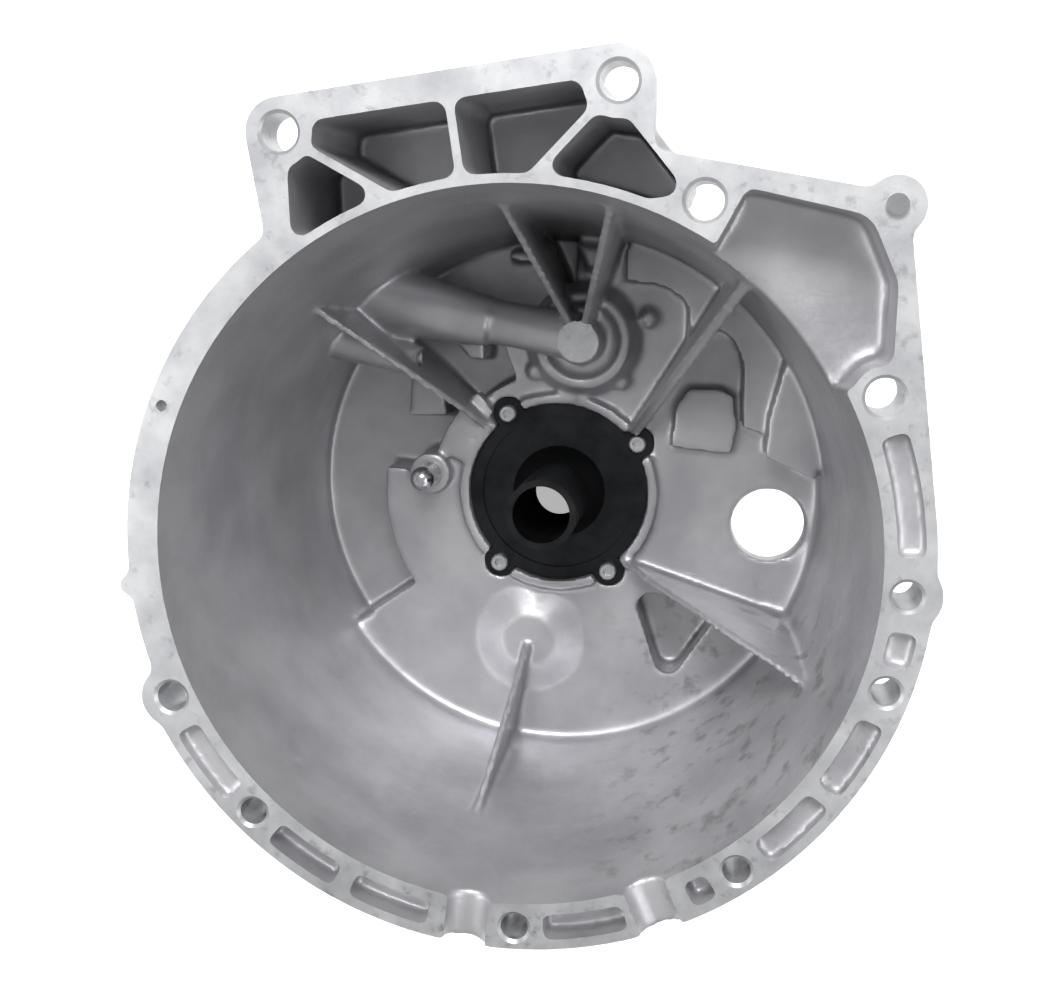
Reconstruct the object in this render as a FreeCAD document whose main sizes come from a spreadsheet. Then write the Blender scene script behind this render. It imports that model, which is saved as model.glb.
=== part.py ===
"""Gearbox housing: clutch bell and front of the gear case, with the pieces that stay in the casting.

Units are millimetres and degrees.  +Z runs along the input shaft towards the engine, and the origin is on the
shaft axis, at the front shoulder of the input bearing's seat.  The casting stands on its rear joint face.
"""
import FreeCAD
import Part
import math
import os
import re
import Sketcher

Vector = FreeCAD.Vector

# Driving sizes: (name, value, what it is).
SIZES = (
    # Bell
    ("bell_depth", "200", "seat shoulder to the engine face"),
    ("mouth_r", "170", "bell mouth, inside radius"),
    ("floor_r", "150", "bell floor, inside radius"),
    ("floor_z", "10", "bell floor above the seat shoulder"),
    ("floor_thick", "8", "thickness of the bell floor"),
    ("wall", "6", "thickness of the cast walls"),
    ("flange_thick", "18", "thickness of the engine flange"),
    ("arch_thick", "4", "bell wall where the upper pockets lie behind it"),
    ("rim_out", "15", "flange width outside the mouth, upper left"),
    ("rim_low_out", "23", "flange width outside the mouth, lower half"),
    ("rim_low_start", "-158", "direction where the wide rim starts"),
    ("rim_low_sweep", "170", "sweep of the wide rim"),
    # Ears of the engine flange: direction, distance outside the mouth radius, outside radius
    ("ear_a_turn", "117.8", "ear at the upper left corner"),
    ("ear_a_out", "49.2", ""),
    ("ear_a_r", "15.7", ""),
    ("ear_b_turn", "76.4", "ear at the top"),
    ("ear_b_out", "48.5", ""),
    ("ear_b_r", "16", ""),
    ("ear_c_turn", "61", "ear that stands into the bell, upper right"),
    ("ear_c_out", "13.6", ""),
    ("ear_c_r", "13.5", ""),
    ("ear_d_turn", "23.9", "ear that stands into the bell, right"),
    ("ear_d_out", "13.9", ""),
    ("ear_d_r", "14", ""),
    ("ear_e_turn", "-4.7", "ear on the right rim"),
    ("ear_e_out", "10.8", ""),
    ("ear_e_r", "15.8", ""),
    ("ear_f_turn", "203.4", "lug on the left rim"),
    ("ear_f_out", "11.7", ""),
    ("ear_f_r", "15.2", ""),
    ("ear_p_turn", "42.6", "ear of the dowel pin"),
    ("ear_p_out", "62.5", ""),
    ("ear_p_r", "13", ""),
    ("corner_p_in", "9.5", "how far the flange corner's round lies inside the dowel ear"),
    ("nub_turn", "185.2", "casting nub on the left rim"),
    ("nub_out", "16", ""),
    ("nub_r", "4.5", ""),
    # Anchors that close the straight sides of the upper flange
    ("anchor_r", "7", "round at the ends of the straight sides"),
    ("anchor_a_turn", "124.7", "lower end of the upper left side"),
    ("anchor_a_out", "12.5", ""),
    ("anchor_b_turn", "71.4", "lower end of the side below the top ear"),
    ("anchor_b_out", "17.8", ""),
    ("anchor_c_turn", "68.3", "start of the sloping side"),
    ("anchor_c_out", "18.5", ""),
    ("anchor_d_turn", "6", "lower end of the right side"),
    ("anchor_d_out", "15.9", ""),
    ("blend_r", "6", "round in the inner corners of the flange outline"),
    # Bolt holes of the engine flange
    ("bolt_out", "12", "bolt holes of the lower rim outside the mouth radius"),
    ("bolt_large_r", "8.5", "hole radius in the upper ears"),
    ("bolt_low_r", "6.6", "hole radius in the lower rim"),
    ("bolt_side_r", "7.4", "hole radius in the left lug"),
    ("bolt_g_turn", "-19.1", "directions of the lower rim's holes"),
    ("bolt_h_turn", "-54.4", ""),
    ("bolt_i_turn", "-90", ""),
    ("bolt_j_turn", "-134.8", ""),
    ("bolt_lead", "1.6", "chamfer at the mouth of the bolt holes"),
    ("boss_deep", "40", "depth of the bosses behind the flange"),
    ("boss_wall", "5", "wall of those bosses around the hole"),
    ("pilot_turn", "156.9", "small hole on the left rim"),
    ("pilot_out", "8.4", ""),
    ("pilot_r", "3", ""),
    # Recesses of the rim between its holes
    ("recess_in", "5.5", "rim recess, inner side outside the mouth radius"),
    ("recess_out", "18", "rim recess, outer side outside the mouth radius"),
    ("recess_shallow", "6", "depth of the shallow recesses"),
    ("recess_deep", "24", "depth of the deep recesses"),
    ("recess_corner", "2.5", "round of the recess corners"),
    ("notch_r", "11", "radius of the two channels across the rim"),
    ("notch_a_turn", "-68.4", "directions of the channels"),
    ("notch_b_turn", "-97.4", ""),
    # Upper block with its core pockets
    ("block_deep", "92", "depth of the block above the arch"),
    ("core_floor", "7", "floor of the core pockets"),
    ("core_rib", "4", "ribs between the core pockets"),
    ("core_corner", "5", "round of the pocket corners"),
    ("core_a_turn", "117.8", "pocket corner beside the upper left ear"),
    ("core_a_out", "30", ""),
    ("core_b_turn", "113.5", "pocket corner under the top side, left"),
    ("core_b_out", "41", ""),
    ("core_c_turn", "81.2", "pocket corner under the top side, right"),
    ("core_c_out", "40", ""),
    ("core_d_turn", "75.4", "pocket corner under the top ear"),
    ("core_d_out", "30.5", ""),
    ("core_e_turn", "67", "right end of the pockets"),
    ("core_e_out", "12.5", ""),
    ("core_f_turn", "122", "lower left end of the pockets"),
    ("core_f_out", "5", ""),
    ("core_r", "5.5", "corner radius of the pocket group"),
    ("rib_a_turn", "115.4", "outer ends of the ribs and the way they point"),
    ("rib_a_out", "35", ""),
    ("rib_a_way", "-29.5", ""),
    ("rib_a_long", "46", ""),
    ("rib_b_turn", "96.6", ""),
    ("rib_b_out", "38", ""),
    ("rib_b_way", "-82.5", ""),
    ("rib_b_long", "36", ""),
    ("rib_c_turn", "78.3", ""),
    ("rib_c_out", "36", ""),
    ("rib_c_way", "-135", ""),
    ("rib_c_long", "44", ""),
    # Large smooth pocket, open to the bell
    ("bay_deep", "46", "depth of the open pocket"),
    ("bay_floor", "8", "floor of the open pocket"),
    ("bay_a_turn", "55.4", "corners of the open pocket"),
    ("bay_a_out", "23.8", ""),
    ("bay_a_r", "5.5", ""),
    ("bay_b_turn", "43.2", ""),
    ("bay_b_out", "36", ""),
    ("bay_b_r", "14", ""),
    ("bay_c_turn", "37.3", ""),
    ("bay_c_out", "31", ""),
    ("bay_c_r", "12.5", ""),
    ("bay_d_turn", "29.7", ""),
    ("bay_d_out", "19.8", ""),
    ("bay_d_r", "6.5", ""),
    ("bay_in", "6", "how far the open pocket reaches inside the mouth radius"),
    # Gear case
    ("case_long", "150", "seat shoulder to the rear joint face"),
    ("case_main_r", "64", "case round the main shaft, outside"),
    ("lay_distance", "90", "distance of the layshaft from the main shaft"),
    ("lay_turn", "-101.3", "direction of the layshaft"),
    ("case_lay_r", "58", "case round the layshaft, outside"),
    ("rail_distance", "90.3", "distance of the selector rail from the main shaft"),
    ("rail_turn", "80.1", "direction of the selector rail"),
    ("case_rail_r", "22", "case round the selector rail, outside"),
    ("joint_thick", "12", "thickness of the rear joint flange"),
    ("joint_out", "15", "width of the rear joint flange outside the case"),
    ("joint_bolts", "12", "number of threaded holes in the rear joint flange"),
    ("joint_bolt_r", "4.2", "threaded holes of the rear joint, core radius"),
    ("joint_dowel_r", "5", "dowel holes of the rear joint"),
    ("joint_dowel_deep", "9", "depth of the dowel holes"),
    # Bearing seats
    ("seat_r", "40", "input bearing seat"),
    ("seat_long", "22", "length of the input bearing seat"),
    ("seat_wall", "9", "wall of the seat's boss"),
    ("shoulder_r", "34", "opening in front of the seat's shoulder"),
    ("shoulder_long", "4", "thickness of that shoulder"),
    ("collar_r", "58", "raised collar round the guide sleeve"),
    ("collar_high", "5", "height of the collar above the bell floor"),
    ("lay_seat_r", "31", "layshaft bearing seat"),
    ("lay_seat_long", "18", "length of the layshaft bearing seat"),
    ("lay_seat_front", "4", "height of the layshaft seat's blind end"),
    ("lay_cone_r", "33", "foot of the cone in front of the layshaft"),
    ("lay_cone_top_r", "15", "flat of that cone"),
    ("lay_cone_high", "9", "height of that cone"),
    # Deep channel of the bell beside the gear case
    ("channel_z", "-20", "floor of the channel"),
    ("channel_r", "104", "inner side of the channel"),
    ("channel_near_r", "70", "inner side of its wide part"),
    ("channel_start", "20", "direction where the channel starts"),
    ("channel_sweep", "193", "sweep of the channel"),
    ("channel_wide_start", "110", "direction where the wide part starts"),
    ("channel_wide_sweep", "62", "sweep of the wide part"),
    # Selector rail boss and the cross tube that meets it
    ("rail_boss_r", "12", "disc boss on the rail"),
    ("rail_boss_top", "34", "top of the disc boss"),
    ("rail_ring_r", "26", "round foot of the disc boss"),
    ("rail_ring_top", "18", "top of that foot"),
    ("rail_hole_r", "9", "bore for the rail's bush"),
    ("tube_z", "30", "height of the cross tube's axis"),
    ("tube_way", "167.5", "direction of the cross tube from the disc boss"),
    ("tube_thin_r", "11.5", "thin part of the cross tube"),
    ("tube_step", "52", "distance from the boss to the step"),
    ("tube_step_r", "14", "thick part at the step"),
    ("tube_wide_r", "23", "thick part at the wall"),
    ("tube_long", "142", "distance from the boss to the wall"),
    ("stub_x", "-76.6", "open end of the short tube"),
    ("stub_y", "78.4", ""),
    ("stub_z", "32", ""),
    ("stub_way", "165", "direction of the short tube"),
    ("stub_r", "9", "radius at its open end"),
    ("stub_wall_r", "12", "radius at the wall"),
    ("stub_bore_r", "6", "its bore"),
    ("stub_long", "56", "its length"),
    # Ribs of the bell floor and wall: start, way, length, heights above the seat shoulder
    ("rib_thick", "4", "thickness of the ribs"),
    ("fin_way", "-102.2", "fin on the layshaft cone"),
    ("fin_long", "72", ""),
    ("fin_top", "120", "height of the fin at the wall"),
    ("strut_a_turn", "136", "strut to the upper left wall"),
    ("strut_a_top", "112", ""),
    ("strut_b_way", "112", "left strut above the disc boss"),
    ("strut_b_long", "67", ""),
    ("strut_b_top", "135", ""),
    ("strut_c_way", "69", "right strut above the disc boss"),
    ("strut_c_long", "64", ""),
    ("strut_c_top", "143", ""),
    ("strut_d_turn", "37.9", "where the thick strut leaves the collar"),
    ("strut_d_way", "57.6", ""),
    ("strut_d_long", "98", ""),
    ("strut_d_top", "152", ""),
    ("strut_d_thick", "6", ""),
    ("ridge_turn", "-47.7", "where the ridge below the slave cylinder leaves the collar"),
    ("ridge_way", "-19.2", ""),
    ("ridge_long", "106", ""),
    ("ridge_top", "130", ""),
    # Recess in the bell floor under the ridge
    ("well_z", "-14", "floor of the recess"),
    ("well_a_x", "54", "corners of the recess"),
    ("well_a_y", "-68", ""),
    ("well_b_x", "82", ""),
    ("well_b_y", "-74", ""),
    ("well_c_x", "64", ""),
    ("well_c_y", "-100", ""),
    ("well_r", "8", "round of its corners"),
    # Slave cylinder opening
    ("slave_distance", "122.6", "distance of the slave cylinder from the shaft"),
    ("slave_turn", "-8.5", "direction of the slave cylinder"),
    ("slave_r", "21", "radius of its hole"),
    ("slave_pad_r", "34", "pad behind the hole"),
    ("slave_pad_thick", "6", "thickness of that pad"),
    ("slave_stud_span", "63.4", "distance between its studs"),
    ("slave_stud_way", "77.2", "line through its studs"),
    ("slave_stud_r", "4", "stud radius"),
    ("slave_stud_long", "30", "stud length"),
    ("slave_spot_r", "7.7", "round spot in front of each stud"),
    ("slave_spot_high", "0.8", ""),
    # Guide sleeve
    ("sleeve_flange_r", "52", "flange of the guide sleeve"),
    ("sleeve_flange_thick", "6", "its thickness"),
    ("sleeve_tab_out", "54.7", "screw distance from the axis"),
    ("sleeve_tab_r", "9", "round of the screw tabs"),
    ("sleeve_tab_a_turn", "122", "directions of the screw tabs"),
    ("sleeve_tab_b_turn", "230", ""),
    ("sleeve_tab_c_turn", "302", ""),
    ("sleeve_tab_d_turn", "32", ""),
    ("sleeve_r", "19", "release bearing tube, outside"),
    ("sleeve_bore_r", "15.5", "release bearing tube, inside"),
    ("sleeve_long", "78", "tube length in front of the flange"),
    ("sleeve_foot_r", "45", "sunk part of the flange"),
    ("sleeve_step", "1.5", "depth of the sunk part"),
    ("sleeve_neck_r", "27", "foot of the tube"),
    ("sleeve_neck_high", "12", ""),
    ("gap", "0.3", "clearance round fitted pieces"),
    ("fit", "0.02", "clearance of a located fit"),
    ("spigot_long", "3", "length of the sleeve's locating spigot"),
    # Screws
    ("head_lead", "0.8", "chamfer of screw heads and ends"),
    ("cap_r", "4.9", "screw head radius"),
    ("cap_high", "5.5", "screw head height"),
    ("cap_hex", "2.5", "half width of the hexagon"),
    ("cap_hex_deep", "3", ""),
    ("screw_r", "3", "screw shank radius"),
    ("screw_long", "18", "screw length under the head"),
    ("tab_boss_wall", "4", "wall of the screw bosses in the case"),
    # Seal and ring of the sleeve
    ("seal_r", "24", "input shaft seal, outside"),
    ("seal_bore_r", "14", "lip radius"),
    ("seal_long", "7", ""),
    ("seal_lip", "2", "how far the lip stands in"),
    ("ring_r", "43", "O-ring under the sleeve flange, middle radius"),
    ("ring_section_r", "1.5", "its section"),
    # Bearing races
    ("race_wall", "6", "thickness of an outer race"),
    ("race_groove", "2", "depth of its ball track"),
    ("lay_race_long", "16", "layshaft bearing race"),
    # Dowel pin of the engine face
    ("pin_r", "5", "pin radius"),
    ("pin_out", "3", "how far it stands out"),
    ("pin_deep", "16", "how deep it sits"),
    ("pin_lead", "1", "its chamfer"),
    # Fork ball stud
    ("ball_turn", "171.5", "direction of the ball stud"),
    ("ball_distance", "76", "its distance from the shaft"),
    ("ball_r", "7", "ball radius"),
    ("ball_neck_r", "5", "neck radius"),
    ("ball_high", "20", "ball centre above its boss"),
    ("ball_deep", "12", "shank length in the boss"),
    ("ball_boss_r", "12", "boss radius"),
    ("ball_boss_high", "8", "boss height above the floor"),
    # Oil plugs and breather
    ("fill_up", "72", "fill plug above the rear joint face"),
    ("drain_up", "32", "drain plug above the rear joint face"),
    ("plug_r", "9", "plug thread radius"),
    ("plug_head_r", "13", "plug head radius"),
    ("plug_head_high", "8", ""),
    ("plug_long", "12", "thread length"),
    ("plug_hex", "6", "half width of the plug's hexagon"),
    ("plug_hex_deep", "6", ""),
    ("washer_thick", "2", "sealing washer"),
    ("plug_boss_r", "17", "boss of a plug"),
    ("plug_boss_high", "5", ""),
    ("breather_up", "80", "breather above the rear joint face"),
    ("breather_r", "5", "breather radius"),
    ("breather_cap_r", "9", ""),
    ("breather_high", "16", ""),
    # Selector bush
    ("bush_wall", "1.5", "selector rail bush"),
    ("bush_long", "16", ""),
)
NAMES = sorted((row[0] for row in SIZES), key=len, reverse=True)
ALIAS = re.compile(r"\b(" + "|".join(NAMES) + r")\b")

doc = FreeCAD.newDocument("gearbox_housing")
sheet = doc.addObject("Spreadsheet::Sheet", "Sizes")
for row_number, (alias, value, note) in enumerate(SIZES, start=1):
    sheet.set(f"A{row_number}", note or alias)
    sheet.set(f"B{row_number}", value)
    sheet.setAlias(f"B{row_number}", alias)
doc.recompute()


def bound(formula):
    """The expression for a formula written with the sheet's names."""
    return ALIAS.sub(r"Sizes.\1", str(formula))


def value_of(formula):
    """The present value of such a formula."""
    result = sheet.evalExpression(bound(formula))
    return float(getattr(result, "Value", result))


def polar(distance, turn):
    """The x and y formulas of a point at a distance and direction from the axis."""
    return f"({distance}) * cos(({turn}) * 1 deg)", f"({distance}) * sin(({turn}) * 1 deg)"


def beyond(ear):
    """The x and y formulas of a place given by its direction and its distance outside the mouth."""
    return polar(f"mouth_r + {ear}_out", f"{ear}_turn")


def place(item, at=("0", "0", "0"), turn=None, rotation=None):
    """Bind an object's position, and its turn about Z where it has one."""
    if rotation is not None:
        item.Placement = FreeCAD.Placement(Vector(), rotation)
    if turn is not None:
        item.Placement = FreeCAD.Placement(Vector(), FreeCAD.Rotation(Vector(0, 0, 1), 1))
        item.setExpression("Placement.Rotation.Angle", bound(turn))
    for axis, formula in zip("xyz", at):
        item.setExpression(f"Placement.Base.{axis}", bound(formula))
    return item


def primitive(kind, name, sizes, **where):
    """A Part primitive whose sizes are bound to the sheet."""
    item = doc.addObject(kind, name)
    for size, formula in sizes.items():
        item.setExpression(size, bound(formula))
    return place(item, **where)


def cylinder(name, radius, height, **where):
    """A round bar standing on its base point."""
    sweep = where.pop("sweep", None)
    sizes = {"Radius": radius, "Height": height}
    if sweep is not None:
        sizes["Angle"] = sweep
    return primitive("Part::Cylinder", name, sizes, **where)


def cone(name, low_r, high_r, height, **where):
    """A round taper standing on its base point."""
    sweep = where.pop("sweep", None)
    sizes = {"Radius1": low_r, "Radius2": high_r, "Height": height}
    if sweep is not None:
        sizes["Angle"] = sweep
    return primitive("Part::Cone", name, sizes, **where)


def fused(name, items):
    """The union of several objects."""
    union = doc.addObject("Part::MultiFuse", name)
    union.Shapes = items
    union.Refine = True
    return union


def without(name, base, tool):
    """One object cut by another."""
    result = doc.addObject("Part::Cut", name)
    result.Base = base
    result.Tool = tool
    result.Refine = True
    return result


def shared(name, items):
    """What several objects have in common."""
    result = doc.addObject("Part::MultiCommon", name)
    result.Shapes = items
    result.Refine = True
    return result


def flat_along(way):
    """The rotation that lays the Z axis flat along a direction in the XY plane."""
    turn = math.radians(value_of(way))
    return FreeCAD.Rotation(Vector(0, 0, 1), Vector(math.cos(turn), math.sin(turn), 0))


def belt_sketch(name, rounds, height):
    """A closed outline stretched round several circles, each given as x, y and radius formulas."""
    sketch = doc.addObject("Sketcher::SketchObject", name)
    sketch.setExpression("Placement.Base.z", bound(height))
    circles = [tuple(value_of(formula) for formula in each) for each in rounds]
    count = len(circles)
    normals = []
    for number, (x, y, radius) in enumerate(circles):
        next_x, next_y, next_radius = circles[(number + 1) % count]
        span = math.hypot(next_x - x, next_y - y)
        course = math.atan2(next_y - y, next_x - x)
        normals.append(course - math.acos((radius - next_radius) / span))
    for number, (x, y, radius) in enumerate(circles):
        circle = Part.Circle(Vector(x, y, 0), Vector(0, 0, 1), radius)
        first, last = normals[number - 1], normals[number]
        sketch.addGeometry(Part.ArcOfCircle(circle, first, last if last > first else last + 2 * math.pi))
    for number in range(count):
        start = Vector(*circles[number][:2], 0)
        end = Vector(*circles[(number + 1) % count][:2], 0)
        out = Vector(math.cos(normals[number]), math.sin(normals[number]), 0)
        start_r, end_r = circles[number][2], circles[(number + 1) % count][2]
        sketch.addGeometry(Part.LineSegment(start + out * start_r, end + out * end_r))
    for number, (x, y, radius) in enumerate(rounds):
        line, arc_after = count + number, (number + 1) % count
        sketch.addConstraint(Sketcher.Constraint("Tangent", number, 2, line, 1))
        sketch.addConstraint(Sketcher.Constraint("Tangent", line, 2, arc_after, 1))
        here = circles[number]
        for kind, formula, now in (("DistanceX", x, here[0]), ("DistanceY", y, here[1])):
            index = sketch.addConstraint(Sketcher.Constraint(kind, -1, 1, number, 3, now))
            sketch.setExpression(f"Constraints[{index}]", bound(formula))
        index = sketch.addConstraint(Sketcher.Constraint("Radius", number, here[2]))
        sketch.setExpression(f"Constraints[{index}]", bound(radius))
    return sketch


def extruded(name, sketch, height):
    """A sketch raised along Z."""
    solid = doc.addObject("Part::Extrusion", name)
    solid.Base = sketch
    solid.DirMode = "Custom"
    solid.Dir = Vector(0, 0, 1)
    solid.Solid = True
    solid.setExpression("LengthFwd", bound(height))
    return solid


def belt(name, rounds, base, height):
    """A plate with a belt outline."""
    return extruded(name, belt_sketch(f"{name}_outline", rounds, base), height)


def web(name, at, way, long, low, start_top, end_top, thick):
    """An upright rib on a straight plan line, whose top edge runs from one height to another."""
    sketch = doc.addObject("Sketcher::SketchObject", f"{name}_side")
    upright = FreeCAD.Rotation(Vector(0, 0, 1), value_of(way)) * FreeCAD.Rotation(Vector(1, 0, 0), 90)
    sketch.Placement = FreeCAD.Placement(Vector(), upright)
    for axis, formula in zip("xy", at):
        sketch.setExpression(f"Placement.Base.{axis}", bound(formula))
    heights = (low, low, end_top, start_top)
    runs = ("0", long, long, "0")
    points = [Vector(value_of(run), value_of(high), 0) for run, high in zip(runs, heights)]
    for number, point in enumerate(points):
        sketch.addGeometry(Part.LineSegment(point, points[(number + 1) % 4]))
    for number, (run, high) in enumerate(zip(runs, heights)):
        sketch.addConstraint(Sketcher.Constraint("Coincident", number, 2, (number + 1) % 4, 1))
        for kind, formula in (("DistanceX", run), ("DistanceY", high)):
            now = value_of(formula)
            index = sketch.addConstraint(Sketcher.Constraint(kind, -1, 1, number, 1, now))
            sketch.setExpression(f"Constraints[{index}]", bound(formula))
    solid = doc.addObject("Part::Extrusion", name)
    solid.Base = sketch
    solid.DirMode = "Normal"
    solid.Solid = True
    solid.Symmetric = True
    solid.setExpression("LengthFwd", bound(thick))
    return solid


def corners(shape, wanted, least_turn=0.45):
    """Numbers of the straight upright edges of a prism: the inner ones, or the outer ones."""
    found = []
    for number, edge in enumerate(shape.Edges, start=1):
        if not isinstance(edge.Curve, Part.Line) or abs(edge.tangentAt(edge.FirstParameter).z) < 0.99:
            continue
        middle = edge.CenterOfMass
        inside = 0
        for step in range(24):
            turn = step * math.pi / 12
            probe = middle + Vector(math.cos(turn), math.sin(turn), 0) * 0.4
            inside += shape.isInside(probe, 0.001, True)
        turn = (inside - 12) / 12 * math.pi
        if (wanted == "inner" and turn > least_turn) or (wanted == "outer" and turn < -least_turn):
            found.append(number)
    return found


def rounded(name, base, radius, wanted):
    """A prism whose inner or outer upright corners are rounded."""
    doc.recompute()
    size = value_of(radius)
    blend = doc.addObject("Part::Fillet", name)
    blend.Base = base
    blend.Edges = [(number, size, size) for number in corners(base.Shape, wanted)]
    return blend


# Levels that the pieces share
FLANGE_BACK = "bell_depth - flange_thick"
FLOOR_BACK = "floor_z - floor_thick"
SEAT_FRONT = "shoulder_long"
SLEEVE_FACE = "shoulder_long + sleeve_flange_thick"
MAIN = ("0", "0")
LAY = polar("lay_distance", "lay_turn")
RAIL = polar("rail_distance", "rail_turn")
SLAVE = polar("slave_distance", "slave_turn")
BALL = polar("ball_distance", "ball_turn")
PIN = beyond("ear_p")


def cone_radius(height):
    """The bell's inside radius at a height."""
    return f"(floor_r + (mouth_r - floor_r) * (({height}) - floor_z) / (bell_depth - floor_z))"


def ear_round(ear):
    """An ear's circle as x, y and radius formulas."""
    return (*beyond(ear), f"{ear}_r")


def anchor_round(anchor):
    """An anchor's circle as x, y and radius formulas."""
    return (*beyond(anchor), "anchor_r")


def top_belt():
    """Circles of the upper part of the flange, counter-clockwise."""
    return [anchor_round("anchor_b"), ear_round("ear_b"), ear_round("ear_a"), anchor_round("anchor_a")]


def side_belt():
    """Circles of the upper right part of the flange, counter-clockwise."""
    corner = polar("mouth_r + ear_p_out - corner_p_in", "ear_p_turn")
    return [anchor_round("anchor_d"), (*corner, "ear_p_r"), anchor_round("anchor_c")]


def core_rounds(extra="0"):
    """Circles round the group of core pockets, counter-clockwise."""
    return [(*beyond(f"core_{corner}"), f"core_r + ({extra})") for corner in "edcbaf"]


def bay_rounds(extra="0"):
    """Circles round the open pocket, counter-clockwise."""
    first = (*polar("mouth_r - bay_in", "bay_d_turn - 1"), f"bay_a_r + ({extra})")
    last = (*polar("mouth_r - bay_in", "bay_a_turn - 1"), f"bay_a_r + ({extra})")
    return [first] + [(*beyond(f"bay_{corner}"), f"bay_{corner}_r + ({extra})") for corner in "dcba"] + [last]


def bolts():
    """Each bolt hole of the engine flange: letter, place and hole radius."""
    holes = [(ear, beyond(f"ear_{ear}"), "bolt_large_r") for ear in "abcd"]
    holes.append(("e", beyond("ear_e"), "bolt_low_r"))
    holes.append(("f", beyond("ear_f"), "bolt_side_r"))
    for hole in "ghij":
        holes.append((hole, polar("mouth_r + bolt_out", f"bolt_{hole}_turn"), "bolt_low_r"))
    return holes


def engine_flange():
    """The flange plate with its ears, cut later."""
    low = FLANGE_BACK
    pieces = [
        cylinder("rim", "mouth_r + rim_out", "flange_thick", at=("0", "0", low)),
        cylinder("rim_low", "mouth_r + rim_low_out", "flange_thick", at=("0", "0", low),
                 turn="rim_low_start", sweep="rim_low_sweep"),
        belt("top_plate", top_belt(), low, "flange_thick"),
        belt("side_plate", side_belt(), low, "flange_thick"),
    ]
    for ear in ("ear_c", "ear_d", "ear_e", "ear_f", "ear_p", "nub"):
        x, y = beyond(ear)
        pieces.append(cylinder(f"{ear}_plate", f"{ear}_r", "flange_thick", at=(x, y, low)))
    return rounded("flange_plate", fused("flange_sharp", pieces), "blend_r", "inner")


def ring_sector(name, inner, outer, base, height, turn, sweep):
    """Part of a ring about the shaft axis."""
    full = cylinder(f"{name}_full", outer, height, at=("0", "0", base), turn=turn, sweep=sweep)
    core = cylinder(f"{name}_core", inner, f"({height}) + 2", at=("0", "0", f"({base}) - 1"))
    return without(name, full, core)


def channel_bulge():
    """The outside of the deep channel: a ring part, with a wider part at the upper left."""
    low = "channel_z - floor_thick"
    full = cone("channel_cone", f"{cone_radius(low)} + wall", "floor_r + wall", "floor_z - channel_z + floor_thick",
                at=("0", "0", low), turn="channel_start - 3", sweep="channel_sweep + 6")
    relief = cylinder("channel_relief", "channel_r - wall", "floor_z - channel_z + floor_thick + 2",
                      at=("0", "0", f"{low} - 1"))
    wide = ring_sector("channel_wide", "channel_near_r - wall", "channel_r", low,
                       "floor_z - channel_z + floor_thick", "channel_wide_start - 5", "channel_wide_sweep + 10")
    return fused("channel_outside", [without("channel_ring", full, relief), wide])


def bell_solids():
    """The bell's wall and floor, its channel, the blocks outside it and the bolt bosses."""
    pieces = [
        cone("bell_outside", "floor_r + wall", "mouth_r + wall", f"bell_depth - ({FLOOR_BACK})",
             at=("0", "0", FLOOR_BACK)),
        channel_bulge(),
        belt("top_block", core_rounds("wall"), "bell_depth - block_deep", "block_deep - flange_thick / 2"),
        belt("side_block", bay_rounds("wall"), "bell_depth - bay_deep - bay_floor",
             "bay_deep + bay_floor - flange_thick / 2"),
    ]
    for letter, (x, y), hole in bolts():
        if letter not in "ab":
            pieces.append(cylinder(f"boss_{letter}", f"{hole} + boss_wall", "boss_deep - flange_thick / 2",
                                   at=(x, y, "bell_depth - boss_deep")))
    return pieces


def case_outline(extra="0"):
    """Circles round which the gear case is stretched, counter-clockwise."""
    rail_x, rail_y = polar("rail_distance - case_rail_r / 2", "rail_turn")
    return [("0", "0", f"case_main_r + ({extra})"), (rail_x, rail_y, f"case_rail_r + ({extra})"),
            ("-1 * wall", "0", f"case_main_r + ({extra})"), (*LAY, f"case_lay_r + ({extra})")]


def case_solids():
    """The gear case, its joint flange and the bosses of the bearings and of the slave cylinder."""
    rear = "-1 * case_long"
    return [
        belt("case_body", case_outline(), rear, f"case_long + {FLOOR_BACK}"),
        belt("joint_flange", case_outline("joint_out"), rear, "joint_thick"),
        cylinder("slave_pad", "slave_pad_r", "slave_pad_thick + floor_thick / 2",
                 at=(*SLAVE, f"{FLOOR_BACK} - slave_pad_thick")),
        belt("well_outside", well_rounds("wall"), "well_z - wall", "floor_z - well_z"),
    ] + [plug_boss(name, height) for name, height in PLUGS]


def well_rounds(extra="0"):
    """Circles of the recess under the ridge, counter-clockwise."""
    return [(f"well_{corner}_x", f"well_{corner}_y", f"well_r + ({extra})") for corner in "acb"]


def flat_bar(name, radius, start, way, long, height):
    """A round bar lying along a direction in the XY plane."""
    return cylinder(name, radius, long, at=(*start, height), rotation=flat_along(way))


BREATHER_Y = "(rail_distance - case_rail_r / 2) * sin(rail_turn * 1 deg) + case_rail_r"
CASE_SIDE = "lay_distance * cos(lay_turn * 1 deg) - case_lay_r"
BREATHER_Z = "breather_up - case_long"
PLUGS = (("fill", "fill_up - case_long"), ("drain", "drain_up - case_long"))


def plug_boss(name, height):
    """The round boss of an oil plug on the left side of the gear case."""
    start = (f"{CASE_SIDE} + wall", LAY[1])
    return flat_bar(f"{name}_boss", "plug_boss_r", start, "180", "wall + plug_boss_high", height)


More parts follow.
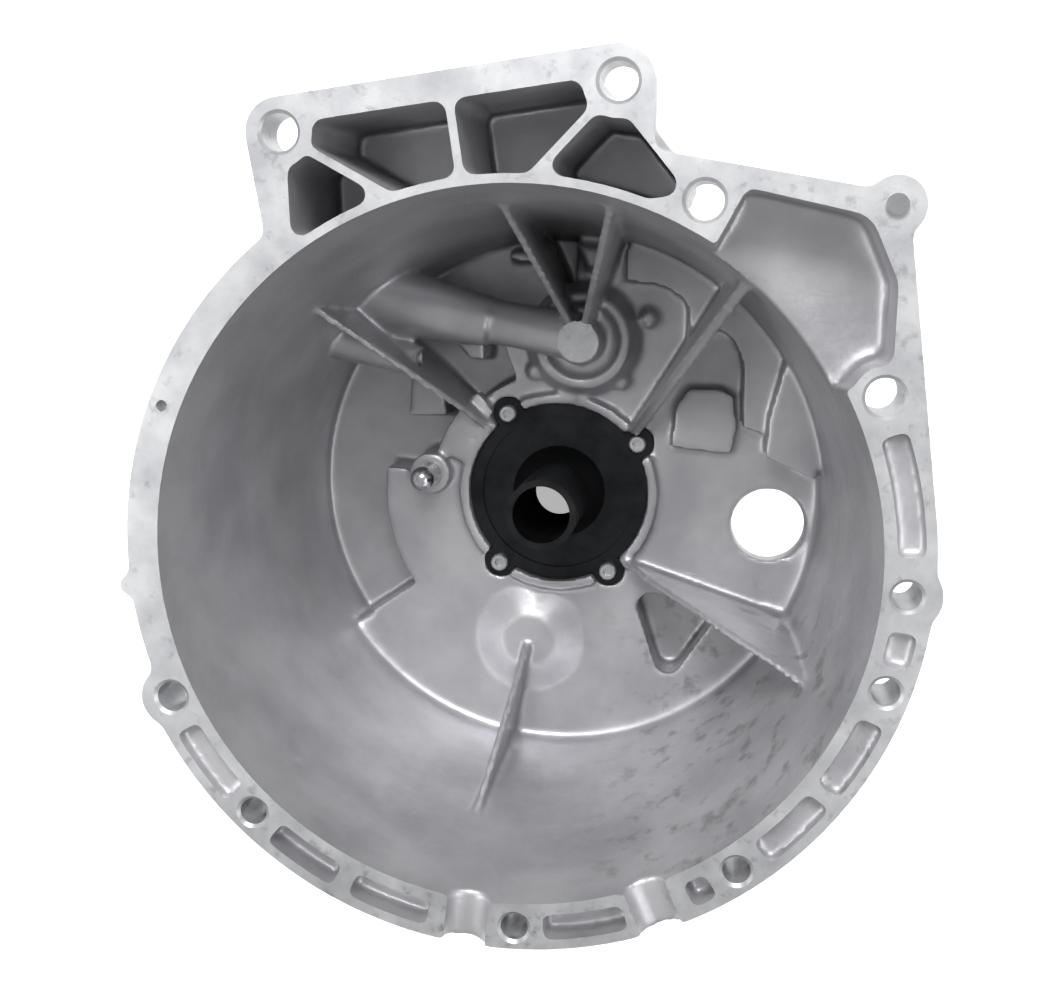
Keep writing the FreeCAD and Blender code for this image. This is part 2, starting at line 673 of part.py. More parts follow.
def features_inside():
    """What stands up inside the bell, trimmed to the outside of its wall."""
    tube_x, tube_y = RAIL
    step = (f"{tube_x} + tube_step * cos(tube_way * 1 deg)", f"{tube_y} + tube_step * sin(tube_way * 1 deg)")
    low = "channel_z - floor_thick / 2"
    floor = f"{FLOOR_BACK} + floor_thick / 2"
    collar_a = polar("collar_r - wall / 2", "strut_a_turn")
    collar_d = polar("collar_r - wall / 2", "strut_d_turn")
    collar_r = polar("collar_r - wall / 2", "ridge_turn")
    collar_top = "floor_z + collar_high"
    pieces = [
        cylinder("rail_ring", "rail_ring_r", f"rail_ring_top - ({low})", at=(*RAIL, low)),
        cylinder("rail_boss", "rail_boss_r", "rail_boss_top", at=(*RAIL, "0")),
        flat_bar("tube_thin", "tube_thin_r", RAIL, "tube_way", "tube_step", "tube_z"),
        cone("tube_wide", "tube_step_r", "tube_wide_r", "tube_long - tube_step", at=(*step, "tube_z"),
             rotation=flat_along("tube_way")),
        cone("stub", "stub_r", "stub_wall_r", "stub_long", at=("stub_x", "stub_y", "stub_z"),
             rotation=flat_along("stub_way")),
        web("fin", LAY, "fin_way", "fin_long", floor, "floor_z + lay_cone_high", "fin_top", "rib_thick"),
        web("strut_a", collar_a, "strut_a_turn", f"{cone_radius('strut_a_top')} - collar_r + wall", low,
            collar_top, "strut_a_top", "rib_thick"),
        web("strut_b", RAIL, "strut_b_way", "strut_b_long", low, "rail_boss_top - 2", "strut_b_top", "rib_thick"),
        web("strut_c", RAIL, "strut_c_way", "strut_c_long", low, "rail_boss_top - 2", "strut_c_top", "rib_thick"),
        web("strut_d", collar_d, "strut_d_way", "strut_d_long", low, collar_top, "strut_d_top",
            "strut_d_thick"),
        web("ridge", collar_r, "ridge_way", "ridge_long", floor, collar_top, "ridge_top", "rib_thick"),
        cylinder("ball_boss", "ball_boss_r", f"floor_z + ball_boss_high - ({low})", at=(*BALL, low)),
    ]
    envelope = fused("envelope", [doc.bell_outside, doc.channel_outside])
    return shared("features", [fused("features_whole", pieces), envelope])


def seats():
    """What stays round the bearings and the selector rail, inside and outside the gear case."""
    return [
        cylinder("collar", "collar_r", "floor_z + collar_high - floor_thick", at=("0", "0", "floor_thick")),
        cylinder("seat_boss", "seat_r + seat_wall", f"seat_long + {FLOOR_BACK} + 1", at=("0", "0", "-1 * seat_long")),
        cylinder("lay_boss", "lay_seat_r + wall", f"{FLOOR_BACK} - lay_seat_front + lay_seat_long + 1",
                 at=(*LAY, "lay_seat_front - lay_seat_long")),
        cylinder("rail_seat", "rail_hole_r + wall", f"bush_long + {FLOOR_BACK} + 1", at=(*RAIL, "-1 * bush_long")),
        cone("lay_cone", "lay_cone_r", "lay_cone_top_r", "lay_cone_high", at=(*LAY, "floor_z")),
    ] + [cylinder(f"tab_boss_{tab}", "screw_r + tab_boss_wall", f"screw_long + {FLOOR_BACK}",
                  at=(*polar("sleeve_tab_out", f"sleeve_tab_{tab}_turn"), "-1 * screw_long + 1")) for tab in "abcd"]


def bell_cavity():
    """The room inside the bell: its cone and the deep channel."""
    ring = ring_sector("channel_inside", "channel_r", "floor_r", "channel_z", "floor_z - channel_z + 1",
                       "channel_start", "channel_sweep")
    taper = cone("channel_taper", cone_radius("channel_z"), cone_radius("floor_z + 1"),
                 "floor_z - channel_z + 1", at=("0", "0", "channel_z"))
    near = ring_sector("channel_near", "channel_near_r", "channel_r + 1", "channel_z", "floor_z - channel_z + 1",
                       "channel_wide_start", "channel_wide_sweep")
    return fused("bell_room", [
        cone("bell_inside", "floor_r", "mouth_r", "bell_depth - floor_z", at=("0", "0", "floor_z")),
        shared("channel_room", [ring, taper]),
        near,
        belt("well", well_rounds(), "well_z", "floor_z - well_z + 1"),
    ])


def sleeve_room():
    """The recess in the collar for the guide sleeve's flange and its screw tabs."""
    high = "floor_z + collar_high - shoulder_long + 1"
    at = SEAT_FRONT
    pieces = [cylinder("sleeve_recess", "sleeve_flange_r + gap", high, at=("0", "0", at))]
    for tab in "abcd":
        spot = polar("sleeve_tab_out", f"sleeve_tab_{tab}_turn")
        pieces.append(cylinder(f"tab_recess_{tab}", "sleeve_tab_r + gap", high, at=(*spot, at)))
        pieces.append(cylinder(f"tab_hole_{tab}", "screw_r", "screw_long", at=(*spot, f"{at} - screw_long + 1")))
    return pieces


def case_cavity():
    """The room inside the gear case, open at the rear."""
    room = belt("case_room", case_outline("-wall"), "-case_long - 1", f"case_long + 1 + {FLOOR_BACK}")
    tabs = [doc.getObject(f"tab_boss_{tab}") for tab in "abcd"]
    bosses = fused("case_keeps", [doc.seat_boss, doc.lay_boss, doc.rail_seat] + tabs)
    return without("case_cavity", room, bosses)


def core_pockets():
    """The pockets above the arch, between their ribs."""
    deep = "block_deep - core_floor"
    room = belt("core_room", core_rounds(), f"bell_depth - ({deep})", f"{deep} + 1")
    low = f"bell_depth - ({deep}) - 1"
    high = f"{deep} + 3"
    keeps = [cylinder("arch", "mouth_r + arch_thick", high, at=("0", "0", low))]
    for ear in "ab":
        keeps.append(cylinder(f"ear_{ear}_keep", f"ear_{ear}_r", high, at=(*beyond(f"ear_{ear}"), low)))
    for rib in "abc":
        start = beyond(f"rib_{rib}")
        keeps.append(web(f"core_rib_{rib}", start, f"rib_{rib}_way", f"rib_{rib}_long", low,
                         "bell_depth + 2", "bell_depth + 2", "core_rib"))
    return rounded("core_pockets", without("core_sharp", room, fused("core_keeps", keeps)), "core_corner", "outer")


def bay():
    """The large smooth pocket beside the dowel pin, open to the bell."""
    base = "bell_depth - bay_deep"
    room = belt("bay_room", bay_rounds(), base, "bay_deep + 1")
    keeps = [cylinder(f"ear_{ear}_keep", f"ear_{ear}_r", "bay_deep + 3", at=(*beyond(f"ear_{ear}"), f"{base} - 1"))
             for ear in "cd"]
    return without("bay", room, fused("bay_keeps", keeps))


def rim_recesses():
    """The recesses between the bolt holes of the rim."""
    found = []
    for number, (turn, sweep, depth) in enumerate(RECESSES):
        piece = ring_sector(f"recess_{number}", "mouth_r + recess_in", "mouth_r + recess_out",
                            f"bell_depth - {depth}", f"{depth} + 1", turn, sweep)
        found.append(rounded(f"recess_{number}_round", piece, "recess_corner", "outer"))
    return found


RECESSES = (
    ("1", "17.5", "recess_shallow"),
    ("-15.2", "5.2", "recess_shallow"),
    ("-36", "12", "recess_shallow"),
    ("-49.7", "11.6", "recess_shallow"),
    ("-62.6", "3.8", "recess_deep"),
    ("-85.5", "12.6", "recess_deep"),
    ("-115.8", "12.4", "recess_deep"),
    ("-130.2", "11.6", "recess_deep"),
    ("-151.2", "12.4", "recess_shallow"),
)


def flange_cuts():
    """Bolt holes, the pilot hole, the dowel hole and the channels of the engine flange."""
    cuts = []
    for letter, (x, y), hole in bolts():
        cuts.append(cylinder(f"bolt_{letter}", hole, "block_deep + 2", at=(x, y, "bell_depth - block_deep - 1")))
        cuts.append(cone(f"bolt_{letter}_lead", hole, f"{hole} + bolt_lead + 0.1", "bolt_lead + 0.1",
                         at=(x, y, "bell_depth - bolt_lead")))
    x, y = beyond("pilot")
    cuts.append(cylinder("pilot", "pilot_r", "flange_thick + 2", at=(x, y, f"{FLANGE_BACK} - 1")))
    cuts.append(cylinder("pin_hole", "pin_r", "pin_deep + 1", at=(*PIN, "bell_depth - pin_deep")))
    for notch in "ab":
        start = polar("mouth_r - wall", f"notch_{notch}_turn")
        cuts.append(flat_bar(f"notch_{notch}", "notch_r", start, f"notch_{notch}_turn",
                             "rim_low_out + 2 * wall", "bell_depth + notch_r / 4"))
    return cuts


def seat_cuts():
    """Bearing seats, the slave cylinder hole and the small holes of the floor."""
    studs = slave_studs()
    cuts = [
        cylinder("seat", "seat_r", "seat_long + 1", at=("0", "0", "-1 * seat_long - 1")),
        cylinder("shoulder", "shoulder_r", "shoulder_long + 2", at=("0", "0", "-1")),
        cylinder("lay_seat", "lay_seat_r", "lay_seat_long + 1",
                 at=(*LAY, "lay_seat_front - lay_seat_long - 1")),
        cylinder("rail_hole", "rail_hole_r", "bush_long + 1", at=(*RAIL, "-1 * bush_long - 1")),
        cylinder("slave_hole", "slave_r", "floor_thick + slave_pad_thick + 2",
                 at=(*SLAVE, f"{FLOOR_BACK} - slave_pad_thick - 1")),
        cylinder("ball_hole", "ball_neck_r", "ball_deep + 1", at=(*BALL, "floor_z + ball_boss_high - ball_deep")),
        flat_bar("stub_bore", "stub_bore_r", ("stub_x + 1", "stub_y"), "stub_way", "stub_long / 2", "stub_z"),
    ]
    for number, (x, y) in enumerate(studs):
        cuts.append(cylinder(f"stud_hole_{number}", "slave_stud_r", "floor_thick",
                             at=(x, y, f"{FLOOR_BACK} - slave_pad_thick - 1")))
    cuts.append(flat_bar("breather_hole", "breather_r", (RAIL[0], f"{BREATHER_Y} - wall - 3"), "90", "wall + 5",
                         BREATHER_Z))
    for name, height in PLUGS:
        cuts.append(flat_bar(f"{name}_hole", "plug_r", (f"{CASE_SIDE} + wall + 2", LAY[1]), "180",
                             "wall + plug_boss_high + 4", height))
    return cuts


def slave_studs():
    """The places of the two studs that hold the slave cylinder."""
    places = []
    for side in ("", "-1 *"):
        x = f"({SLAVE[0]}) + {side} slave_stud_span / 2 * cos(slave_stud_way * 1 deg)"
        y = f"({SLAVE[1]}) + {side} slave_stud_span / 2 * sin(slave_stud_way * 1 deg)"
        places.append((x, y))
    return places


def joint_places():
    """Evenly spaced places along the middle of the rear joint flange."""
    middle = belt_sketch("joint_middle", case_outline("joint_out / 2"), "-1 * case_long")
    doc.recompute()
    wire = Part.Wire(Part.__sortEdges__(middle.Shape.Edges))
    return wire.discretize(Number=int(value_of("joint_bolts")) * 2 + 1)[:-1]


def at_point(name, radius, height, point, low):
    """A bar at a worked-out place."""
    return cylinder(name, radius, height, at=(str(round(point.x, 4)), str(round(point.y, 4)), low))


def joint_cuts(places):
    """Threaded holes and dowel holes of the rear joint."""
    low = "-1 * case_long - 1"
    cuts = [at_point(f"joint_hole_{number}", "joint_bolt_r", "joint_thick + 2", point, low)
            for number, point in enumerate(places[::2])]
    for number in (1, len(places) // 2 + 1):
        cuts.append(at_point(f"joint_pin_hole_{number}", "joint_dowel_r", "joint_dowel_deep + 1", places[number], low))
    return cuts


def build_casting():
    """The whole casting."""
    solid = fused("outside", [engine_flange()] + bell_solids() + case_solids())
    roomy = without("hollow_bell", solid, bell_cavity())
    seats_made = seats()
    dressed = fused("dressed", [roomy, features_inside()] + seats_made)
    tools = [case_cavity(), core_pockets(), bay()] + sleeve_room() + rim_recesses()
    tools += flange_cuts() + seat_cuts() + joint_cuts(joint_places())
    return without("housing_casting", dressed, fused("all_cuts", tools))


def turned(name, profile, at=("0", "0", "0"), rotation=None):
    """A body turned about its own Z axis from a closed profile of radius and height formulas."""
    body = doc.addObject("PartDesign::Body", name)
    sketch = body.newObject("Sketcher::SketchObject", f"{name}_profile")
    attach(sketch, body, "XZ_Plane")
    points = [Vector(value_of(radius), value_of(high), 0) for radius, high in profile]
    count = len(points)
    for number, point in enumerate(points):
        sketch.addGeometry(Part.LineSegment(point, points[(number + 1) % count]))
    for number, formulas in enumerate(profile):
        sketch.addConstraint(Sketcher.Constraint("Coincident", number, 2, (number + 1) % count, 1))
        for kind, formula in zip(("DistanceX", "DistanceY"), formulas):
            now = value_of(formula)
            index = sketch.addConstraint(Sketcher.Constraint(kind, -1, 1, number, 1, now))
            sketch.setExpression(f"Constraints[{index}]", bound(formula))
    spin = body.newObject("PartDesign::Revolution", f"{name}_turned")
    spin.Profile = sketch
    spin.ReferenceAxis = (sketch, ["V_Axis"])
    spin.Angle = 360
    return place(body, at=at, rotation=rotation)


def attach(sketch, body, role, height=None):
    """Put a sketch on one of its body's origin planes, or at a height above it."""
    plane = next(part for part in body.Origin.OriginFeatures if part.Role == role)
    sketch.AttachmentSupport = [(plane, "")]
    sketch.MapMode = "FlatFace"
    if height is not None:
        sketch.setExpression("AttachmentOffset.Base.z", bound(height))


def circles_sketch(body, name, height, circles):
    """A sketch of separate circles, given as x, y and radius formulas, at a height in a body."""
    sketch = body.newObject("Sketcher::SketchObject", name)
    attach(sketch, body, "XY_Plane", height)
    for number, (x, y, radius) in enumerate(circles):
        centre = Vector(value_of(x), value_of(y), 0)
        sketch.addGeometry(Part.Circle(centre, Vector(0, 0, 1), value_of(radius)))
        for kind, formula, now in (("DistanceX", x, centre.x), ("DistanceY", y, centre.y)):
            index = sketch.addConstraint(Sketcher.Constraint(kind, -1, 1, number, 3, now))
            sketch.setExpression(f"Constraints[{index}]", bound(formula))
        index = sketch.addConstraint(Sketcher.Constraint("Radius", number, value_of(radius)))
        sketch.setExpression(f"Constraints[{index}]", bound(radius))
    return sketch


def ring_profile(inner, outer, low, high):
    """The section of a plain ring."""
    return [(inner, low), (outer, low), (outer, high), (inner, high)]


def guide_sleeve():
    """The bearing retainer: flange with screw tabs, locating spigot and release bearing tube."""
    back = SEAT_FRONT
    face = SLEEVE_FACE
    profile = [
        ("sleeve_bore_r", f"{back} - spigot_long + seal_long"),
        ("seal_r", f"{back} - spigot_long + seal_long"),
        ("seal_r", f"{back} - spigot_long"),
        ("shoulder_r - fit", f"{back} - spigot_long"),
        ("shoulder_r - fit", back),
        ("ring_r - ring_section_r", back),
        ("ring_r - ring_section_r", f"{back} + 2 * ring_section_r"),
        ("ring_r + ring_section_r", f"{back} + 2 * ring_section_r"),
        ("ring_r + ring_section_r", back),
        ("sleeve_flange_r", back),
        ("sleeve_flange_r", face),
        ("sleeve_foot_r", face),
        ("sleeve_foot_r", f"{face} - sleeve_step"),
        ("sleeve_neck_r", f"{face} - sleeve_step"),
        ("sleeve_r", f"{face} + sleeve_neck_high"),
        ("sleeve_r", f"{face} + sleeve_long"),
        ("sleeve_bore_r", f"{face} + sleeve_long"),
    ]
    body = turned("guide_sleeve", profile)
    spots = [polar("sleeve_tab_out", f"sleeve_tab_{tab}_turn") for tab in "abcd"]
    tabs = body.newObject("PartDesign::Pad", "sleeve_tabs")
    tabs.Profile = circles_sketch(body, "sleeve_tab_rounds", back, [(*spot, "sleeve_tab_r") for spot in spots])
    tabs.setExpression("Length", bound("sleeve_flange_thick"))
    holes = body.newObject("PartDesign::Pocket", "sleeve_screw_holes")
    holes.Profile = circles_sketch(body, "sleeve_hole_rounds", face, [(*spot, "screw_r + gap") for spot in spots])
    holes.setExpression("Length", bound("sleeve_flange_thick"))
    return body


def socket_screw(name, sizes, at, rotation=None):
    """A screw or plug with a hexagon socket: head on its seat at zero, shank below."""
    head_r, head_high, shank_r, long, hexagon, socket = sizes
    profile = [("0", f"-1 * ({long})"), (shank_r, f"-1 * ({long})"), (shank_r, "0"), (head_r, "0"),
               (head_r, f"{head_high} - head_lead"), (f"{head_r} - head_lead", head_high), ("0", head_high)]
    blank = turned(f"{name}_blank", profile)
    recess = primitive("Part::Prism", f"{name}_socket",
                       {"Circumradius": f"{hexagon} / cos(30 deg)", "Height": f"{socket} + 1"},
                       at=("0", "0", f"{head_high} - {socket}"))
    recess.Polygon = 6
    solid = without(name, blank, recess)
    return place(solid, at=at, rotation=rotation)


def copies(name, master, places):
    """One node of like pieces: a master placed at several points."""
    links = []
    for number, at in enumerate(places):
        link = doc.addObject("App::Link", f"{name}_{number}")
        link.LinkedObject = master
        links.append(place(link, at=at))
    group = doc.addObject("Part::Compound", name)
    group.Links = links
    return group


def small_pieces():
    """Everything that is fitted to the casting."""
    back = f"{SEAT_FRONT} - spigot_long"
    lay_low = "lay_seat_front - lay_race_long"
    pad_back = f"{FLOOR_BACK} - slave_pad_thick"
    ball_foot = "floor_z + ball_boss_high"
    left = flat_along("180")
    up = flat_along("90")
    side_x = f"{CASE_SIDE} - plug_boss_high - washer_thick"
    screw = socket_screw("screw_master", ("cap_r", "cap_high", "screw_r", "screw_long", "cap_hex", "cap_hex_deep"),
                         ("0", "0", "0"))
    spots = [(*polar("sleeve_tab_out", f"sleeve_tab_{tab}_turn"), SLEEVE_FACE) for tab in "abcd"]
    stud = turned("stud_master", [("0", "0"), ("0", "-1 * slave_stud_long"),
                                  ("slave_stud_r - head_lead", "-1 * slave_stud_long"),
                                  ("slave_stud_r", "head_lead - slave_stud_long"), ("slave_stud_r", "0")])
    seal = [("seal_bore_r + seal_lip", back), ("seal_r", back), ("seal_r", f"{back} + seal_long"),
            ("seal_bore_r + seal_lip", f"{back} + seal_long"), ("seal_bore_r", f"{back} + seal_long / 2")]
    race = [("lay_seat_r - race_wall", lay_low), ("lay_seat_r", lay_low), ("lay_seat_r", "lay_seat_front"),
            ("lay_seat_r - race_wall", "lay_seat_front"),
            ("lay_seat_r - race_wall + race_groove", "lay_seat_front - lay_race_long * 0.3"),
            ("lay_seat_r - race_wall + race_groove", "lay_seat_front - lay_race_long * 0.7")]
    ball = fused("fork_ball_stud", [
        primitive("Part::Sphere", "ball", {"Radius": "ball_r"}, at=("0", "0", "ball_high")),
        cylinder("ball_neck", "ball_neck_r - gap", "ball_high"),
        cylinder("ball_shank", "ball_neck_r", "ball_deep", at=("0", "0", "-1 * ball_deep")),
        cylinder("ball_collar", "ball_r", "washer_thick"),
    ])
    plug = ("plug_head_r", "plug_head_high", "plug_r", "plug_long", "plug_hex", "plug_hex_deep")
    pieces = [
        guide_sleeve(),
        copies("guide_sleeve_screws", screw, spots),
        turned("input_shaft_seal", seal),
        primitive("Part::Torus", "guide_sleeve_o_ring", {"Radius1": "ring_r", "Radius2": "ring_section_r"},
                  at=("0", "0", f"{SEAT_FRONT} + ring_section_r")),
        turned("layshaft_bearing_race", race, at=(*LAY, "0")),
        turned("selector_rail_bush", ring_profile("rail_hole_r - bush_wall", "rail_hole_r", "-1 * bush_long", "0"),
               at=(*RAIL, "0")),
        turned("engine_dowel_pin", [("0", "-1 * pin_deep"), ("pin_r", "-1 * pin_deep"), ("pin_r", "pin_out - pin_lead"),
                                    ("pin_r - pin_lead", "pin_out"), ("0", "pin_out")], at=(*PIN, "bell_depth")),
        place(ball, at=(*BALL, ball_foot)),
        copies("slave_cylinder_studs", stud,
               [(x, y, f"{pad_back} + floor_thick - 1") for x, y in slave_studs()]),
    ]
    for name, height in PLUGS:
        pieces.append(socket_screw(f"{name}_plug", plug, (side_x, LAY[1], height), left))
        washer = ring_profile("plug_r + gap", "plug_head_r + 1", "0", "washer_thick")
        pieces.append(turned(f"{name}_plug_washer", washer, at=(f"{CASE_SIDE} - plug_boss_high", LAY[1], height),
                             rotation=left))
    breather = [("0", "-1 * wall"), ("breather_r", "-1 * wall"), ("breather_r", "breather_high / 2"),
                ("breather_cap_r", "breather_high / 2"), ("breather_cap_r", "breather_high - head_lead"),
                ("breather_cap_r - head_lead", "breather_high"), ("0", "breather_high")]
    pieces.append(turned("breather", breather, at=(RAIL[0], BREATHER_Y, BREATHER_Z), rotation=up))
    return pieces


def write(pieces):
    """Check every object, then write each piece to its file."""
    doc.recompute()
    for item in doc.Objects:
        if "Invalid" in item.State or "Error" in item.State:
            raise RuntimeError(f"{item.Label} did not build: {item.State}")
    os.makedirs("parts", exist_ok=True)
    for piece in pieces:
        if piece.Shape.isNull() or not piece.Shape.isValid():
            raise RuntimeError(f"{piece.Label} has no valid shape")
    for piece in pieces:
        piece.Shape.exportStep(f"parts/{piece.Label}.step")
        print(f"{piece.Label:24} {len(piece.Shape.Solids)} solids {piece.Shape.Volume / 1000:10.2f} cm3")


casting = build_casting()
write([casting] + small_pieces())
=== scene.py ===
"""Looks of a cast gearbox housing: bell, engine flange, gear case and the small pieces fitted to it."""

import logging
import math
from dataclasses import dataclass
from enum import Enum
from typing import Any, Sequence

import bmesh
import bpy
from mathutils import Matrix, Vector

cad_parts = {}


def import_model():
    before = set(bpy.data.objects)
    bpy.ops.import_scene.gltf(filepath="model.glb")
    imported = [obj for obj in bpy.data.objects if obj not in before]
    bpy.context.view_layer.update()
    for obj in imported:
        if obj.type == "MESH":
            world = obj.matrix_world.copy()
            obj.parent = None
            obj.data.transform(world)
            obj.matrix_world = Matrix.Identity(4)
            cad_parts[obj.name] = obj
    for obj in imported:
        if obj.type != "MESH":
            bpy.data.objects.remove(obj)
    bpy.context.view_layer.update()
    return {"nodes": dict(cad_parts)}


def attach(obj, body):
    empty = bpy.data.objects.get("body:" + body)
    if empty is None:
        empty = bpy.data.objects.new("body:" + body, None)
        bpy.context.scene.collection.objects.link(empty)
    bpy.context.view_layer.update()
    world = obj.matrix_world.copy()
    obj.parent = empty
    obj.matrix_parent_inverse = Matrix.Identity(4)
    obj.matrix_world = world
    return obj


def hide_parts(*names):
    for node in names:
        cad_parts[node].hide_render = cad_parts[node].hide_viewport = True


LOG = logging.getLogger("gearbox_housing")
MM = 0.001
Point = tuple[float, float]
Place = tuple[float, float, float]
Range = tuple[float, float]

MIX_FIRST, MIX_SECOND, MIX_RESULT = 6, 7, 2
PATCH_RANGE: Range = (0.35, 0.68)
GRAIN_RANGE: Range = (0.3, 0.7)
PATCH_LAYERS, GRAIN_LAYERS, FLOW_LAYERS, MARK_LAYERS = 4, 3, 2, 6
NOISE_ROUGHNESS = 0.55
BUMP_STRENGTH = 0.9
SHARP_ANGLE = math.radians(38)


class Stage(Enum):
    """Which step of the housing's making a surface comes from."""

    CAST = "cast"
    MILLED = "milled"


# ---------------------------------------------------------------- nodes and colours


def linear(code: str) -> tuple[float, float, float, float]:
    """Turn an sRGB hex code into linear colour.

    Args:
        code: six hex digits with a leading hash.

    Returns:
        Red, green, blue and alpha.
    """
    parts = [int(code[i:i + 2], 16) / 255 for i in (1, 3, 5)]
    return (*[c / 12.92 if c <= 0.04045 else ((c + 0.055) / 1.055) ** 2.4 for c in parts], 1.0)


def add(tree: bpy.types.NodeTree, kind: str, inputs: dict[Any, Any] | None = None, **settings: Any) -> Any:
    """Add a node, set it up and link it.

    Args:
        tree: the tree that gets the node.
        kind: the node's type name.
        inputs: values or sockets by input name or number.
        settings: attributes of the node.

    Returns:
        The new node.
    """
    node = tree.nodes.new(kind)
    for name, value in settings.items():
        setattr(node, name, value)
    for key, value in (inputs or {}).items():
        if isinstance(value, bpy.types.NodeSocket):
            tree.links.new(value, node.inputs[key])
        else:
            node.inputs[key].default_value = value
    return node


def band(tree: bpy.types.NodeTree, value: bpy.types.NodeSocket, across: Range, onto: Range = (0.0, 1.0)) -> Any:
    """Map a value from one range onto another and hold it there.

    Args:
        tree: the tree that gets the node.
        value: socket of the value.
        across: the two values where the result starts and ends; the first may be the larger.
        onto: the result at each of them.

    Returns:
        The result's socket.
    """
    return add(tree, "ShaderNodeMapRange", {"Value": value, "From Min": across[0], "From Max": across[1],
                                            "To Min": onto[0], "To Max": onto[1]}).outputs[0]


def blend(tree: bpy.types.NodeTree, amount: bpy.types.NodeSocket, first: Any, second: Any) -> Any:
    """Mix two colours.

    Args:
        tree: the tree that gets the node.
        amount: socket of the second colour's share.
        first: colour or socket.
        second: colour or socket.

    Returns:
        The mixed colour's socket.
    """
    mix = add(tree, "ShaderNodeMix", {"Factor": amount, MIX_FIRST: first, MIX_SECOND: second}, data_type="RGBA")
    return mix.outputs[MIX_RESULT]


def calculate(tree: bpy.types.NodeTree, operation: str, *values: Any) -> Any:
    """Do one calculation on numbers or sockets.

    Args:
        tree: the tree that gets the node.
        operation: name of the calculation.
        values: what goes in, in order.

    Returns:
        The result's socket.
    """
    return add(tree, "ShaderNodeMath", dict(enumerate(values)), operation=operation).outputs[0]


# ---------------------------------------------------------------- finishes


@dataclass(frozen=True)
class Finish:
    """A surface made by one process, with colour, gloss and fine relief.

    The two tones are the cleanest and the dullest places; grain is the size of the relief.
    """

    name: str
    tone: str
    dull_tone: str
    metallic: float
    roughness: Range
    patch_mm: float = 40.0
    grain_mm: float = 1.5
    grain_high_mm: float = 0.05
    grain_stretch: Place = (1.0, 1.0, 1.0)

    def build(self) -> bpy.types.Material:
        """Make the material.

        Returns:
            The finished material.
        """
        material = bpy.data.materials.new(self.name)
        material.use_nodes = True
        tree = material.node_tree
        shader = tree.nodes["Principled BSDF"]
        shader.inputs["Metallic"].default_value = self.metallic
        place = add(tree, "ShaderNodeTexCoord").outputs["Object"]
        colour, roughness, height = self.pattern(tree, place)
        tree.links.new(colour, shader.inputs["Base Color"])
        tree.links.new(roughness, shader.inputs["Roughness"])
        bump = add(tree, "ShaderNodeBump", {"Height": height, "Distance": self.grain_high_mm * MM,
                                            "Strength": BUMP_STRENGTH})
        tree.links.new(bump.outputs["Normal"], shader.inputs["Normal"])
        return material

    def noise(self, tree: bpy.types.NodeTree, place: bpy.types.NodeSocket, size_mm: float, layers: float,
              stretch: Place = (1.0, 1.0, 1.0)) -> bpy.types.NodeSocket:
        """Add a noise whose features have a real size.

        Args:
            tree: the material's tree.
            place: coordinates in metres.
            size_mm: feature size.
            layers: how many finer layers it has.
            stretch: scale along each axis.

        Returns:
            The noise's factor socket.
        """
        scaled = add(tree, "ShaderNodeMapping", {"Vector": place, "Scale": stretch})
        return add(tree, "ShaderNodeTexNoise", {"Vector": scaled.outputs[0], "Scale": 1 / (size_mm * MM),
                                                "Detail": layers, "Roughness": NOISE_ROUGHNESS}).outputs["Fac"]

    def pattern(self, tree: bpy.types.NodeTree, place: bpy.types.NodeSocket) -> tuple[Any, Any, Any]:
        """Colour, roughness and height of the plain finish.

        Args:
            tree: the material's tree.
            place: coordinates in metres.

        Returns:
            The three sockets.
        """
        patches = self.noise(tree, place, self.patch_mm, PATCH_LAYERS)
        grain = self.noise(tree, place, self.grain_mm, GRAIN_LAYERS, self.grain_stretch)
        colour = blend(tree, band(tree, patches, PATCH_RANGE), linear(self.tone), linear(self.dull_tone))
        return colour, band(tree, grain, GRAIN_RANGE, self.roughness), grain


@dataclass(frozen=True)
class CastFinish(Finish):
    """Die-cast aluminium: satin grey with broad flow patches, a fine skin and oily stains at its lower right."""

    flow_mm: float = 9.0
    flow_share: float = 2.2
    stain: str = "#57504a"
    stain_mm: float = 14.0
    stain_range: Range = (0.55, 0.66)
    stain_most: float = 0.45
    stain_right: Range = (0.02, 0.06)
    stain_under: Range = (-0.04, -0.07)

    def pattern(self, tree: bpy.types.NodeTree, place: bpy.types.NodeSocket) -> tuple[Any, Any, Any]:
        """Colour, roughness and height with flow patches under the grain and stains over it.

        Args:
            tree: the material's tree.
            place: coordinates in metres.

        Returns:
            The three sockets.
        """
        colour, gloss, grain = super().pattern(tree, place)
        flow = self.noise(tree, place, self.flow_mm, FLOW_LAYERS)
        height = calculate(tree, "MULTIPLY_ADD", flow, self.flow_share, grain)
        marks = self.noise(tree, place, self.stain_mm, MARK_LAYERS)
        spots = band(tree, marks, self.stain_range, (0.0, self.stain_most))
        sides = add(tree, "ShaderNodeSeparateXYZ", {"Vector": place}).outputs
        right = band(tree, sides["X"], self.stain_right)
        under = band(tree, sides["Y"], self.stain_under)
        amount = calculate(tree, "MULTIPLY", spots, calculate(tree, "MULTIPLY", right, under))
        return blend(tree, amount, colour, linear(self.stain)), gloss, height


